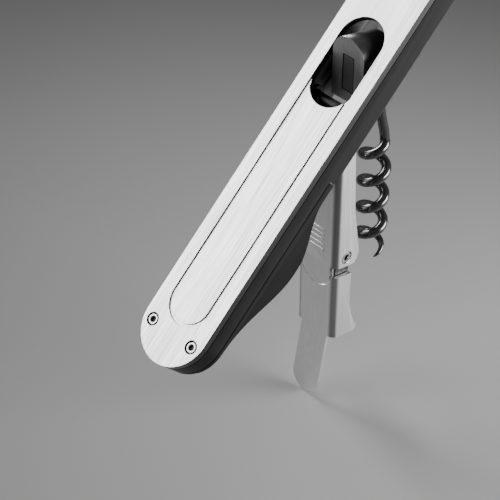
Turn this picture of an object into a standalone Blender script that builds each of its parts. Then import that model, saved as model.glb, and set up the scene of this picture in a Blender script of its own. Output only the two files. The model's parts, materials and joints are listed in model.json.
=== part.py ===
"""Lever corkscrew with a two-stage lever, in metres, +Z up.

The origin is the tip of the worm and the worm's axis is the Z axis, as it stands in a cork. The handle
slopes up towards +X. Handle pieces are modelled in the handle's own frame (X along it, Z out of its steel
top) under one tilted empty; the lever and worm pieces hang from empties on their pivot axes.
"""

import math

import bmesh
import bpy
from mathutils import Matrix, Vector

MM = 0.001

# Driving dimensions, in millimetres.
HANDLE_PITCH = 42.2
HANDLE_LENGTH = 140.0
HANDLE_WIDTH = 20.0
PLATE_THICK = 2.0
BODY_DEPTH = 9.0
BODY_HALF_WIDTH = 10.0
GAP = 0.3

SLOT_HALF_WIDTH = 6.5
SLOT_FROM = 68.7
SLOT_TO = 79.8
GROOVE_FROM = 7.0
GROOVE_WIDTH = 0.9
GROOVE_DEPTH = 0.4

POCKET_FROM = 4.5
POCKET_TO = 96.0
POCKET_HALF_WIDTH = 7.9
CHANNEL_HALF_WIDTH = 7.0
CHANNEL_FROM = -4.5
END_RELIEF_DEPTH = 8.0
COVER_HALF_WIDTH = 6.0
COVER_THICK = 1.2
COVER_HOLE_RADIUS = 1.5
GUARD_TO = 48.2
GUARD_TIP = 8.15
GUARD_SEAM = 6.8
GUARD_PEAK = 15.6

SCREW_HOLE_RADIUS = 1.0
COUNTERBORE_RADIUS = 1.75
COUNTERBORE_DEPTH = 1.3
PLATE_SCREW_X = -2.0
PLATE_SCREW_Y = 6.9
GUARD_SCREW_X = 2.6
GUARD_SCREW_Y = 8.4

CHASSIS_FROM = 36.0
CHASSIS_TO = 95.5
CHASSIS_SHEET = 0.7
CHASSIS_TOP = -(PLATE_THICK + GAP + 0.05)
CHEEK_FROM = 50.5
CHEEK_TO = 87.0
CHEEK_DEPTH = 12.9
SPRING_FROM = 87.2
SPRING_HALF_WIDTH = 3.5
SPRING_SHEET = 0.5
RIVET_RADIUS = 1.0

PIN_RADIUS = 1.5
LEVER_PIVOT_ALONG = 64.2
LEVER_PIVOT_DEPTH = 5.0
WORM_PIVOT_ALONG = 76.7
WORM_PIVOT_DEPTH = 4.65
WASHER_RADIUS = 2.35

WORM_LENGTH = 62.0
WORM_OFFSET = 6.9
WIRE_RADIUS = 1.3
COIL_RADIUS = 3.15
COIL_PITCH = 8.5
COIL_TOP = 35.7
SHANK_OFFSET = 0.6
SHANK_LEAN = 1.75
SHANK_ANGLE = -43.0

BLOCK_HALF_WIDTH = 5.1
BLOCK_FRONT = -4.5
BLOCK_BACK = 9.1
BLOCK_BOTTOM = -12.2
BLOCK_FACE_BOTTOM = -9.6
BLOCK_CORNER = 5.0
BADGE_Y = (-2.0, 1.8)
BADGE_Z = (-6.6, 3.4)
BLOCK_ARCH_Z = 3.1
BARREL_FALL = 0.19
BARREL_END = 6.0
GRUB_Z = -8.2
BUSH_WALL = 0.5

LEVER_SHEET = 1.0
LEVER_HALF_WIDTH = 6.7
LEVER_WEB = 4.0
BEND_RADIUS = 1.3
WEB_START = 12.5
FLANGE_TOP = 1.4
FLANGE_FRONT = 2.5
HINGE_EAR_SHEET = 0.7
EAR_RADIUS = 2.6
UPPER_LENGTH = 43.2
HINGE_FORWARD = 0.2
KNUCKLE_RADIUS = 4.3
KNUCKLE_BOTTOM = 2.9
TONGUE_HALF_WIDTH = 4.9
TONGUE_DROP = 4.7
LOWER_LENGTH = 25.5
TAIL_HALF_WIDTH = 4.6
TAIL_LENGTH = 20.0
TAIL_BEND = 10.0

MATERIALS = {
    "brushed_steel": ((0.62, 0.62, 0.62), 1.0, 0.38),
    "black_polymer": ((0.018, 0.018, 0.019), 0.0, 0.55),
    "stainless_sheet": ((0.55, 0.55, 0.54), 1.0, 0.30),
    "satin_dark_metal": ((0.12, 0.12, 0.12), 1.0, 0.35),
    "coated_wire": ((0.012, 0.012, 0.012), 0.0, 0.18),
    "pin_steel": ((0.50, 0.50, 0.50), 1.0, 0.25),
    "spring_steel": ((0.30, 0.29, 0.28), 1.0, 0.30),
    "nylon": ((0.75, 0.74, 0.70), 0.0, 0.50),
}

PARTS = "lever_corkscrew"
CUTTERS = "lever_corkscrew_cutters"


def clear_scene():
    for obj in list(bpy.data.objects):
        bpy.data.objects.remove(obj, do_unlink=True)
    for name in (PARTS, CUTTERS):
        collection = bpy.data.collections.new(name)
        bpy.context.scene.collection.children.link(collection)
    bpy.data.collections[CUTTERS].hide_render = True


def material(name):
    found = bpy.data.materials.get(name)
    if found:
        return found
    colour, metallic, roughness = MATERIALS[name]
    made = bpy.data.materials.new(name)
    made.use_nodes = True
    shader = made.node_tree.nodes["Principled BSDF"]
    shader.inputs["Base Color"].default_value = (*colour, 1.0)
    shader.inputs["Metallic"].default_value = metallic
    shader.inputs["Roughness"].default_value = roughness
    return made


def add_mesh(name, mesh):
    obj = bpy.data.objects.new(name, mesh)
    bpy.data.collections[CUTTERS].objects.link(obj)
    return obj


def keep(obj, parent, material_name):
    """Makes a finished piece a part of the model, under its frame."""
    bpy.data.collections[CUTTERS].objects.unlink(obj)
    bpy.data.collections[PARTS].objects.link(obj)
    obj.parent = parent
    obj.data.materials.append(material(material_name))
    obj.data.shade_smooth()
    obj.data.set_sharp_from_angle(angle=math.radians(35))
    return obj


def frame_empty(name, place, pitch=0.0, parent=None):
    empty = bpy.data.objects.new(name, None)
    bpy.data.collections[PARTS].objects.link(empty)
    empty.location = Vector(place) * MM
    empty.rotation_euler.y = -math.radians(pitch)
    empty.parent = parent
    return empty


def boolean(target, tool, operation, solver="EXACT"):
    modifier = target.modifiers.new(operation.lower(), "BOOLEAN")
    modifier.operation = operation
    modifier.solver = solver
    modifier.object = tool
    tool.display_type = "WIRE"
    tool.hide_render = True
    tool.parent = target
    return target


def arc(cx, cy, radius, start, end, steps=12):
    """Points from the start angle to the end angle, in degrees."""
    span = end - start
    angles = [math.radians(start + span * i / steps) for i in range(steps + 1)]
    return [(cx + radius * math.cos(a), cy + radius * math.sin(a)) for a in angles]


def circle(cx, cy, radius, steps=24):
    return arc(cx, cy, radius, 0, 360, steps)[:-1]


def stadium(x_from, x_to, radius, steps=20):
    """A slot's outline between two arc centres."""
    far = arc(x_to, 0, radius, -90, 90, steps)
    near = arc(x_from, 0, radius, 90, 270, steps)
    return far + near


def rounded(corners, steps=5):
    """A polygon whose corners are (x, y, fillet radius)."""
    points = []
    for i, (x, y, radius) in enumerate(corners):
        here = Vector((x, y))
        if radius == 0:
            points.append((x, y))
            continue
        before = (Vector(corners[i - 1][:2]) - here).normalized()
        after = (Vector(corners[(i + 1) % len(corners)][:2]) - here).normalized()
        half = before.angle(after) / 2
        centre = here + (before + after).normalized() * (radius / math.sin(half))
        start = here + before * (radius / math.tan(half)) - centre
        end = here + after * (radius / math.tan(half)) - centre
        turn = start.angle_signed(end)
        for k in range(steps + 1):
            spoke = start.copy()
            spoke.rotate(Matrix.Rotation(-turn * k / steps, 2))
            points.append(tuple(centre + spoke))
    return points


def rectangle(x_from, x_to, y_from, y_to, radius=0.0):
    corners = ((x_from, y_from), (x_to, y_from), (x_to, y_to), (x_from, y_to))
    return rounded([(x, y, radius) for x, y in corners])


AXES = {
    "X": Matrix(((0, 0, 1, 0), (1, 0, 0, 0), (0, 1, 0, 0), (0, 0, 0, 1))),
    "Y": Matrix(((1, 0, 0, 0), (0, 0, -1, 0), (0, 1, 0, 0), (0, 0, 0, 1))),
    "Z": Matrix.Identity(4),
}


def prism(name, outlines, low, high, axis="Z"):
    """A flat shape with holes, extruded from low to high along an axis.

    The outlines are (x, y) for Z, (x, z) for Y and (y, z) for X, in millimetres.
    """
    curve = bpy.data.curves.new(name, "CURVE")
    curve.dimensions = "2D"
    curve.fill_mode = "BOTH"
    curve.extrude = (high - low) / 2 * MM
    for outline in outlines:
        spline = curve.splines.new("POLY")
        spline.points.add(len(outline) - 1)
        spline.use_cyclic_u = True
        for point, (x, y) in zip(spline.points, outline):
            point.co = (x * MM, y * MM, 0, 1)
    source = bpy.data.objects.new(name + "_outline", curve)
    bpy.context.scene.collection.objects.link(source)
    graph = bpy.context.evaluated_depsgraph_get()
    mesh = bpy.data.meshes.new_from_object(source.evaluated_get(graph))
    bpy.data.objects.remove(source, do_unlink=True)
    shape = bmesh.new()
    shape.from_mesh(mesh)
    bmesh.ops.remove_doubles(shape, verts=shape.verts, dist=0.000001)
    shape.to_mesh(mesh)
    shape.free()
    middle = (low + high) / 2 * MM
    if axis == "Y":
        middle = -middle
    mesh.transform(AXES[axis] @ Matrix.Translation((0, 0, middle)))
    mesh.name = name
    return add_mesh(name, mesh)


def box(name, x, y, z):
    """A block between (from, to) pairs along the three axes."""
    return prism(name, [rectangle(x[0], x[1], y[0], y[1])], z[0], z[1])


def turned(name, profile, axis="Z", closed=False, steps=24):
    """A solid of revolution. The profile is (radius, height), outer side from top to bottom."""
    mesh = bpy.data.meshes.new(name)
    points = [(radius * MM, 0, height * MM) for radius, height in profile]
    edges = [(i, i + 1) for i in range(len(points) - 1)]
    if closed:
        edges.append((len(points) - 1, 0))
    mesh.from_pydata(points, edges, [])
    source = bpy.data.objects.new(name + "_profile", mesh)
    bpy.context.scene.collection.objects.link(source)
    screw = source.modifiers.new("turn", "SCREW")
    screw.steps = screw.render_steps = steps
    screw.use_merge_vertices = True
    screw.merge_threshold = 0.00001
    graph = bpy.context.evaluated_depsgraph_get()
    made = bpy.data.meshes.new_from_object(source.evaluated_get(graph))
    bpy.data.objects.remove(source, do_unlink=True)
    made.transform(AXES[axis])
    return add_mesh(name, made)


def place(obj, x=0.0, y=0.0, z=0.0):
    obj.location = Vector((x, y, z)) * MM
    return obj


def pin_hole(name, x, z, radius):
    """A cylinder right across a piece, along Y."""
    return prism(name, [circle(x, z, radius)], -HANDLE_WIDTH, HANDLE_WIDTH, "Y")


def handle_point(along, depth):
    """The world place, relative to the near arc's centre, of a point below the plate's top."""
    pitch = math.radians(HANDLE_PITCH)
    x = along * math.cos(pitch) + depth * math.sin(pitch)
    z = along * math.sin(pitch) - depth * math.cos(pitch)
    return Vector((x, 0, z))


def arm_length():
    """The distance between the centres of the handle's two round ends."""
    return HANDLE_LENGTH - HANDLE_WIDTH


def plate_screw_places():
    ends = (PLATE_SCREW_X, arm_length() - PLATE_SCREW_X)
    return [(x, side * PLATE_SCREW_Y) for x in ends for side in (-1, 1)]


def make_top_plate(frame):
    outside = stadium(0, arm_length(), HANDLE_WIDTH / 2)
    slot = stadium(SLOT_FROM, SLOT_TO, SLOT_HALF_WIDTH)
    through = [circle(x, y, SCREW_HOLE_RADIUS, 16) for x, y in plate_screw_places()]
    plate = prism("top_plate", [outside, slot, *through], -PLATE_THICK, 0)
    inner = SLOT_HALF_WIDTH - GROOVE_WIDTH
    loop = [stadium(GROOVE_FROM, SLOT_FROM, SLOT_HALF_WIDTH), stadium(GROOVE_FROM, SLOT_FROM, inner)]
    boolean(plate, prism("groove", loop, -GROOVE_DEPTH, 1), "DIFFERENCE")
    for i, (x, y) in enumerate(plate_screw_places()):
        seat = [circle(x, y, COUNTERBORE_RADIUS)]
        counterbore = prism(f"counterbore_{i}", seat, -COUNTERBORE_DEPTH, 1)
        boolean(plate, counterbore, "DIFFERENCE", "MANIFOLD")
    keep(plate, frame, "brushed_steel")


def make_plate_screws(frame):
    profile = [(0, -0.1), (1.3, -0.1), (1.4, -0.2), (1.4, -1.0), (0.7, -1.0), (0.7, -6.5), (0, -6.5)]
    for i, (x, y) in enumerate(plate_screw_places()):
        screw = turned(f"plate_screw_{i + 1}", profile)
        socket = prism(f"hex_socket_{i + 1}", [circle(0, 0, 0.65, 6)], -0.75, 1)
        boolean(screw, socket, "DIFFERENCE")
        keep(place(screw, x, y), frame, "pin_steel")


def make_rail(frame):
    """The black body under the plate: a loop of wall with a solid far arm."""
    top = -PLATE_THICK - GAP
    outside = stadium(0, arm_length(), BODY_HALF_WIDTH)
    pocket = rectangle(POCKET_FROM, POCKET_TO, -POCKET_HALF_WIDTH, POCKET_HALF_WIDTH, 0.5)
    screws = [circle(x, y, SCREW_HOLE_RADIUS, 16) for x, y in plate_screw_places()]
    rail = prism("rail", [outside, pocket, *screws], -BODY_DEPTH, top)
    step = box("guard_step", (-20, GUARD_TO + GAP), (-20, 20), (-20, -GUARD_SEAM))
    boolean(rail, step, "DIFFERENCE")
    for side in (-1, 1):
        profile = [(0, 1), (0.9, 1), (0.9, -4.5), (0, -4.5)]
        hole = turned(f"guard_pilot_{side}", profile, steps=16)
        place(hole, GUARD_SCREW_X, side * GUARD_SCREW_Y, -GUARD_SEAM + 3)
        boolean(rail, hole, "DIFFERENCE")
    recess = prism("cover_recess", [cover_outline(0)], -20, -BODY_DEPTH + COVER_THICK + GAP)
    boolean(rail, recess, "DIFFERENCE")
    keep(rail, frame, "black_polymer")


def cover_outline(inset):
    half = COVER_HALF_WIDTH - inset
    return rectangle(POCKET_TO + 4 + inset, arm_length() + 2 - inset, -half, half, 3.0)


def make_far_cover(frame):
    """The trim plate in the underside of the far arm, and its two rivets."""
    low, high = -BODY_DEPTH, -BODY_DEPTH + COVER_THICK
    seats = (POCKET_TO + 8, arm_length() - 2)
    holes = [circle(x, 0, COVER_HOLE_RADIUS, 16) for x in seats]
    cover = prism("far_cover", [cover_outline(GAP), *holes], low, high)
    keep(cover, frame, "stainless_sheet")
    profile = [(0, 1.0), (1.2, 1.0), (1.2, 0.1), (0, 0.1)]
    for i, x in enumerate(seats):
        rivet = place(turned(f"cover_rivet_{i + 1}", profile, steps=16), x, 0, low)
        keep(rivet, frame, "pin_steel")


def guard_profile(x):
    """The depth of the guard's lower edge along the handle, flat at both ends with one hump."""
    rise = smooth_step(x, -4.0, 25.0) ** 1.7
    fall = 1 - smooth_step(x, 27.0, 43.5)
    base = GUARD_TIP + (BODY_DEPTH - GUARD_TIP) * smooth_step(x, 0.0, GUARD_TO)
    return base + (GUARD_PEAK - base) * rise * fall


def smooth_step(x, low, high):
    t = min(max((x - low) / (high - low), 0.0), 1.0)
    return t * t * (3 - 2 * t)


def make_guard(frame):
    """The humped shell under the near arm, with the channel that takes the lever and the worm."""
    top = -GUARD_SEAM - GAP
    steps = 40
    start, length = -12.0, GUARD_TO + 12.0
    xs = [start + length * i / steps for i in range(steps + 1)]
    lower = [(x, -guard_profile(x)) for x in xs]
    outline = [(GUARD_TO, top), (start, top)] + lower
    guard = prism("guard_shell", [outline], -15, 15, "Y")
    limit = prism("guard_plan", [stadium(0, arm_length(), BODY_HALF_WIDTH)], -30, 5)
    boolean(guard, limit, "INTERSECT")
    half = CHANNEL_HALF_WIDTH
    boolean(guard, box("channel", (CHANNEL_FROM, 60), (-half, half), (-30, 0)), "DIFFERENCE")
    relief = (-20, CHANNEL_FROM + 0.5)
    shallow = box("end_relief", relief, (-half, half), (-30, -END_RELIEF_DEPTH))
    boolean(guard, shallow, "DIFFERENCE")
    for side in (-1, 1):
        profile = [(0, 3), (0.9, 3), (0.9, 0.8), (1.25, 0.8), (1.25, -3), (0, -3)]
        hole = turned(f"guard_screw_hole_{side}", profile, steps=16)
        place(hole, GUARD_SCREW_X, side * GUARD_SCREW_Y, -guard_profile(GUARD_SCREW_X))
        boolean(guard, hole, "DIFFERENCE")
    keep(guard, frame, "black_polymer")


def make_guard_screws(frame):
    profile = [(0, 4.2), (0.6, 4.2), (0.6, 0.5), (0.95, 0.5), (0.95, 0.05), (0, 0.05)]
    for name, side in (("right", -1), ("left", 1)):
        screw = turned(f"guard_screw_{name}", profile, steps=16)
        place(screw, GUARD_SCREW_X, side * GUARD_SCREW_Y, -guard_profile(GUARD_SCREW_X))
        keep(screw, frame, "pin_steel")


def chassis_side():
    """The chassis seen from the side: a straight channel with deeper cheeks round the lever's pin."""
    top, edge = CHASSIS_TOP, -BODY_DEPTH - 0.2
    cheek = [(CHEEK_TO + 3.0, edge, 1.5), (CHEEK_TO, -CHEEK_DEPTH, 2.0)]
    cheek += [(CHEEK_FROM, -CHEEK_DEPTH, 2.0), (CHEEK_FROM - 0.5, edge, 0)]
    ends = [(CHASSIS_FROM, edge, 0), (CHASSIS_FROM, top, 0), (CHASSIS_TO, top, 0), (CHASSIS_TO, edge, 0)]
    return rounded(ends[1:] + cheek + ends[:1])


def make_chassis(frame):
    """The steel channel inside the rail that carries both pivot pins."""
    outer, inner = POCKET_HALF_WIDTH - GAP, CHANNEL_HALF_WIDTH
    chassis = prism("chassis", [chassis_side()], -outer, outer, "Y")
    ends = (CHASSIS_FROM - 5, CHASSIS_TO + 5)
    window = (CHASSIS_FROM + 5, CHASSIS_TO - 5.5)
    seat = circle(spring_rivet_along(), 0, RIVET_RADIUS + GAP, 16)
    cuts = (
        box("trough", ends, (-inner, inner), (-20, CHASSIS_TOP - CHASSIS_SHEET)),
        box("window", window, (-inner, inner), (-20, 0)),
        box("guard_clearance", (0, GUARD_TO + GAP), (-20, 20), (-20, -GUARD_SEAM)),
        pin_hole("lever_pin_seat", *lever_pin_place(), PIN_RADIUS + GAP),
        pin_hole("worm_pin_seat", *worm_pin_place(), PIN_RADIUS + GAP),
        prism("rivet_seat", [seat], -20, 5),
    )
    for cut in cuts:
        boolean(chassis, cut, "DIFFERENCE", "MANIFOLD")
    keep(chassis, frame, "stainless_sheet")


def lever_pin_place():
    return LEVER_PIVOT_ALONG, -LEVER_PIVOT_DEPTH


def worm_pin_place():
    return WORM_PIVOT_ALONG, -WORM_PIVOT_DEPTH


def make_pins(frame):
    half = POCKET_HALF_WIDTH - GAP
    for name, (x, z) in (("lever_pin", lever_pin_place()), ("worm_pin", worm_pin_place())):
        profile = [(0, half), (PIN_RADIUS, half), (PIN_RADIUS, -half), (0, -half)]
        keep(place(turned(name, profile, "Y"), x, 0, z), frame, "pin_steel")


def make_worm_washers(frame):
    """Two thrust washers between the worm's block and the chassis."""
    x, z = worm_pin_place()
    rings = [circle(x, z, WASHER_RADIUS), circle(x, z, PIN_RADIUS + GAP)]
    for name, side in (("right", -1), ("left", 1)):
        low, high = sorted((side * (BLOCK_HALF_WIDTH + GAP), side * (CHANNEL_HALF_WIDTH - GAP)))
        keep(prism(f"worm_washer_{name}", rings, low, high, "Y"), frame, "nylon")


def spring_rivet_along():
    return CHASSIS_TO - 2.5


def make_detent_spring(frame):
    """The leaf that bears on the worm's block, and the rivet that holds it."""
    top = CHASSIS_TOP - CHASSIS_SHEET - GAP
    half, bottom = SPRING_HALF_WIDTH, top - SPRING_SHEET
    blade = rectangle(SPRING_FROM, CHASSIS_TO - 0.5, -half, half, 1.0)
    hole = circle(spring_rivet_along(), 0, RIVET_RADIUS + GAP, 16)
    keep(prism("detent_spring", [blade, hole], bottom, top), frame, "spring_steel")
    shank, head = RIVET_RADIUS, RIVET_RADIUS + 0.8
    under = -SPRING_SHEET - GAP
    profile = [(0, 1.3), (shank, 1.3), (shank, under), (head, under), (head - 0.3, under - 0.5)]
    rivet = turned("spring_rivet", profile + [(0, under - 0.7)], steps=16)
    keep(place(rivet, spring_rivet_along(), 0, top), frame, "pin_steel")


def channel_section(web, front):
    """The lever's folded sheet seen from its end, as (x, y), open towards +X."""
    out, inside = LEVER_HALF_WIDTH, LEVER_HALF_WIDTH - LEVER_SHEET
    back = web + LEVER_SHEET
    corners = [(front, -out, 0), (web, -out, BEND_RADIUS), (web, out, BEND_RADIUS), (front, out, 0)]
    corners += [(front, inside, 0), (back, inside, 0.3), (back, -inside, 0.3), (front, -inside, 0)]
    return rounded(corners)


def make_lever_upper(frame):
    """The upper stage: a folded channel with two ears, a knuckle at the hinge and a round tongue."""
    web = -LEVER_WEB
    lever = prism("lever_upper", [channel_section(web, 10)], -UPPER_LENGTH - 20, 10)
    bottom = -UPPER_LENGTH - KNUCKLE_BOTTOM
    knuckle = arc(HINGE_FORWARD, -UPPER_LENGTH, KNUCKLE_RADIUS, -48, 12, 8)
    ear = arc(0, 0, EAR_RADIUS, 0, 180, 12)
    drop_per_step = WEB_START / (LEVER_WEB - EAR_RADIUS)
    back = [(web - 1, -WEB_START - drop_per_step), (web - 1, bottom + 1.1), (1.6, bottom - 0.2)]
    side = ear + back + knuckle + [(FLANGE_FRONT + 1.0, -36.0), (FLANGE_FRONT, -30.0), (FLANGE_TOP, -6.0)]
    boolean(lever, prism("upper_side", [side], -15, 15, "Y"), "INTERSECT", "MANIFOLD")
    inside = LEVER_HALF_WIDTH - LEVER_SHEET + 0.1
    opening = prism("web_opening", [rectangle(-inside, inside, -WEB_START, 10, 1.5)], -20, 0, "X")
    boolean(lever, opening, "DIFFERENCE", "MANIFOLD")
    half = TONGUE_HALF_WIDTH
    round_end = arc(0, -UPPER_LENGTH - TONGUE_DROP, half, 180, 360, 16)
    tongue = [(half, -UPPER_LENGTH + 3), (-half, -UPPER_LENGTH + 3)] + round_end
    inset = 0.02
    plate = prism("tongue", [tongue], web + inset, web + LEVER_SHEET - inset, "X")
    boolean(lever, plate, "UNION", "MANIFOLD")
    boolean(lever, pin_hole("ear_bore", 0, 0, PIN_RADIUS + GAP), "DIFFERENCE", "MANIFOLD")
    hinge = pin_hole("upper_hinge_bore", HINGE_FORWARD, -UPPER_LENGTH, PIN_RADIUS + GAP)
    boolean(lever, hinge, "DIFFERENCE", "MANIFOLD")
    keep(lever, frame, "stainless_sheet")


def make_lever_lower(frame):
    """The lower stage: its foot, the ears joggled inside the upper stage, and the bent finger tab."""
    web = -LEVER_WEB - HINGE_FORWARD
    lever = prism("lever_lower", [channel_section(web, 10)], -LOWER_LENGTH - 10, 2)
    top = [(web - 1, -5.0), (1.9, -6.1)]
    front = [(1.8, -13.0), (2.1, -17.0), (2.9, -21.0), (3.9, -24.0)]
    foot = arc(3.5, -LOWER_LENGTH - 0.2, 1.3, 20, -95, 6)
    side = top + front + foot + [(web - 1, -LOWER_LENGTH + 0.2)]
    boolean(lever, prism("lower_side", [side], -15, 15, "Y"), "INTERSECT")
    half = TONGUE_HALF_WIDTH + GAP
    seat = [(half, 5), (-half, 5)] + arc(0, -TONGUE_DROP - 0.1, half, 180, 360, 16)
    boolean(lever, prism("tongue_seat", [seat], web - 5, web + LEVER_SHEET + 0.02, "X"), "DIFFERENCE")
    add_lower_ears(lever)
    add_finger_tab(lever, web)
    keep(lever, frame, "stainless_sheet")


def add_lower_ears(lever):
    ear = arc(0, 0, EAR_RADIUS, 0, 180, 12) + [(-EAR_RADIUS, -8.8), (1.7, -8.8)]
    outer = LEVER_HALF_WIDTH - LEVER_SHEET - GAP
    for side in (-1, 1):
        low, high = sorted((side * (outer - HINGE_EAR_SHEET), side * outer))
        boolean(lever, prism(f"inner_ear_{side}", [ear], low, high, "Y"), "UNION")
        joggle = sorted((side * (outer - HINGE_EAR_SHEET + 0.1), side * (outer + 0.8)))
        joint = box(f"joggle_{side}", (-2.4, 1.6), joggle, (-8.7, -6.3))
        boolean(lever, joint, "UNION")
    boolean(lever, pin_hole("lower_hinge_bore", 0, 0, PIN_RADIUS + GAP), "DIFFERENCE")


def add_finger_tab(lever, web):
    half = TAIL_HALF_WIDTH
    end = arc(0, half - TAIL_LENGTH, half, 180, 360, 14)
    tab = prism("finger_tab", [[(half, 1.5), (-half, 1.5)] + end], 0, LEVER_SHEET, "X")
    tab.rotation_euler.y = math.radians(TAIL_BEND)
    place(tab, web, 0, -LOWER_LENGTH - 0.5)
    boolean(lever, tab, "UNION")


def make_hinge_rivets(frame):
    """A hollow rivet on each side of the hinge, flush with both sheets it joins."""
    outer = LEVER_HALF_WIDTH - 0.05
    inner = LEVER_HALF_WIDTH - LEVER_SHEET - GAP - HINGE_EAR_SHEET + 0.05
    bore = PIN_RADIUS / 2
    for name, side in (("right", -1), ("left", 1)):
        profile = [(bore, outer), (PIN_RADIUS, outer), (PIN_RADIUS, inner), (bore, inner)]
        rivet = turned(f"hinge_rivet_{name}", profile, "Y", closed=True)
        rivet.data.transform(Matrix.Rotation(math.pi if side > 0 else 0, 4, "Z"))
        keep(place(rivet, HINGE_FORWARD, 0, -UPPER_LENGTH), frame, "pin_steel")


def block_side():
    """The block from the side: a flat face, a top that falls away and a collar round the shank."""
    top = BLOCK_ARCH_Z + BLOCK_HALF_WIDTH
    corners = [(BLOCK_FRONT, BLOCK_FACE_BOTTOM, 0.3), (2.4, BLOCK_FACE_BOTTOM - 0.8, 0.5)]
    corners += [(2.7, BLOCK_BOTTOM, 0.6), (BLOCK_BACK, BLOCK_BOTTOM, 3.0), (BLOCK_BACK, 2.1, 2.8)]
    corners += [(BARREL_END, top - BARREL_FALL * (BARREL_END - BLOCK_FRONT), 2.5), (BLOCK_FRONT, top, 0)]
    return rounded(corners, 6)


def block_plan():
    half, front = BLOCK_HALF_WIDTH + 1, BLOCK_FRONT - 1
    rear = [(BLOCK_BACK, side * BLOCK_HALF_WIDTH, BLOCK_CORNER) for side in (-1, 1)]
    return rounded([(front, -half, 0), (0, -half, 0), *rear, (0, half, 0), (front, half, 0)], 6)


def barrel():
    """The block's round top, whose crown falls away from the face, over straight sides."""
    half = BLOCK_HALF_WIDTH
    arch = arc(0, BLOCK_ARCH_Z, half, 0, 180, 20) + [(-half, -30), (half, -30)]
    shape = prism("barrel", [arch], -20, 20, "X")
    fall = Matrix.Identity(4)
    fall[2][0] = -BARREL_FALL
    fall[2][3] = BARREL_FALL * BLOCK_FRONT * MM
    shape.data.transform(fall)
    return shape


def make_worm_block(frame):
    block = prism("worm_block", [block_side()], -BLOCK_HALF_WIDTH - 1, BLOCK_HALF_WIDTH + 1, "Y")
    boolean(block, prism("plan", [block_plan()], -20, 20), "INTERSECT")
    boolean(block, barrel(), "INTERSECT")
    boolean(block, pin_hole("block_bore", 0, 0, PIN_RADIUS + 2 * GAP + BUSH_WALL), "DIFFERENCE")
    bore = WIRE_RADIUS + GAP
    shank = turned("shank_bore", [(0, -5), (bore, -5), (bore, -20), (0, -20)], steps=20)
    boolean(block, place(shank, *shank_place()), "DIFFERENCE")
    pocket = prism("badge_pocket", [badge_outline(0)], -20, BLOCK_FRONT + 0.6, "X")
    boolean(block, pocket, "DIFFERENCE")
    x, y = shank_place()
    grub = turned("grub_bore", [(0, 9), (1.2, 9), (1.2, 0), (0, 0)], "Y", steps=16)
    boolean(block, place(grub, x, y, GRUB_Z), "DIFFERENCE")
    keep(block, frame, "satin_dark_metal")


def shank_place():
    """Where the straight shank stands, as (x, y) from the worm's pivot."""
    turn = math.radians(SHANK_ANGLE)
    return WORM_OFFSET + SHANK_OFFSET * math.cos(turn), SHANK_OFFSET * math.sin(turn)


def badge_outline(inset):
    (left, right), (low, high) = BADGE_Y, BADGE_Z
    return rectangle(left + inset, right - inset, low + inset, high - inset, 0.3)


def make_badge(frame):
    badge = prism("badge", [badge_outline(GAP)], BLOCK_FRONT + 0.05, BLOCK_FRONT + 0.3, "X")
    keep(badge, frame, "stainless_sheet")


def make_grub_screw(frame):
    """The set screw that clamps the worm's shank in the block."""
    x, y = shank_place()
    near = WIRE_RADIUS + GAP
    far = BLOCK_HALF_WIDTH + y - GAP
    screw = turned("grub_screw", [(0, far), (0.9, far), (0.9, near), (0, near)], "Y", steps=16)
    keep(place(screw, x, y, GRUB_Z), frame, "pin_steel")


def make_worm_bush(frame):
    half = BLOCK_HALF_WIDTH - 0.1
    inner = PIN_RADIUS + GAP
    rings = [circle(0, 0, inner + BUSH_WALL), circle(0, 0, inner)]
    keep(prism("worm_bush", rings, -half, half, "Y"), frame, "nylon")


def worm_path():
    """(point, radius scale) down the shank and round the coil to its sharpened tip."""
    top = COIL_TOP - WORM_LENGTH
    turn = math.radians(SHANK_ANGLE)
    path = []
    for i in range(9):
        z = -5.6 + (top + 5.6) * i / 8
        radius = SHANK_OFFSET + SHANK_LEAN * smooth_step(-z, 15.0, -top + 1.0)
        path.append(((WORM_OFFSET + radius * math.cos(turn), radius * math.sin(turn), z), 1.0))
    turns = COIL_TOP / COIL_PITCH
    steps = int(turns * 16)
    for i in range(1, steps + 1):
        t = i / steps
        angle = turn - 2 * math.pi * turns * t
        start = SHANK_OFFSET + SHANK_LEAN
        radius = start + (COIL_RADIUS - start) * min(i / 8, 1.0)
        x = WORM_OFFSET + radius * math.cos(angle)
        thin = min((1 - t) * steps / 10, 1.0)
        at = (x, radius * math.sin(angle), top - COIL_TOP * t)
        path.append((at, 0.12 + 0.88 * thin))
    return path


def make_worm(frame):
    curve = bpy.data.curves.new("worm", "CURVE")
    curve.dimensions = "3D"
    curve.bevel_depth = WIRE_RADIUS * MM
    curve.bevel_resolution = 2
    curve.use_fill_caps = True
    path = worm_path()
    spline = curve.splines.new("POLY")
    spline.points.add(len(path) - 1)
    for point, (at, scale) in zip(spline.points, path):
        point.co = (*(Vector(at) * MM), 1)
        point.radius = scale
    worm = bpy.data.objects.new("worm", curve)
    bpy.data.collections[PARTS].objects.link(worm)
    worm.parent = frame
    curve.materials.append(material("coated_wire"))


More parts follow.
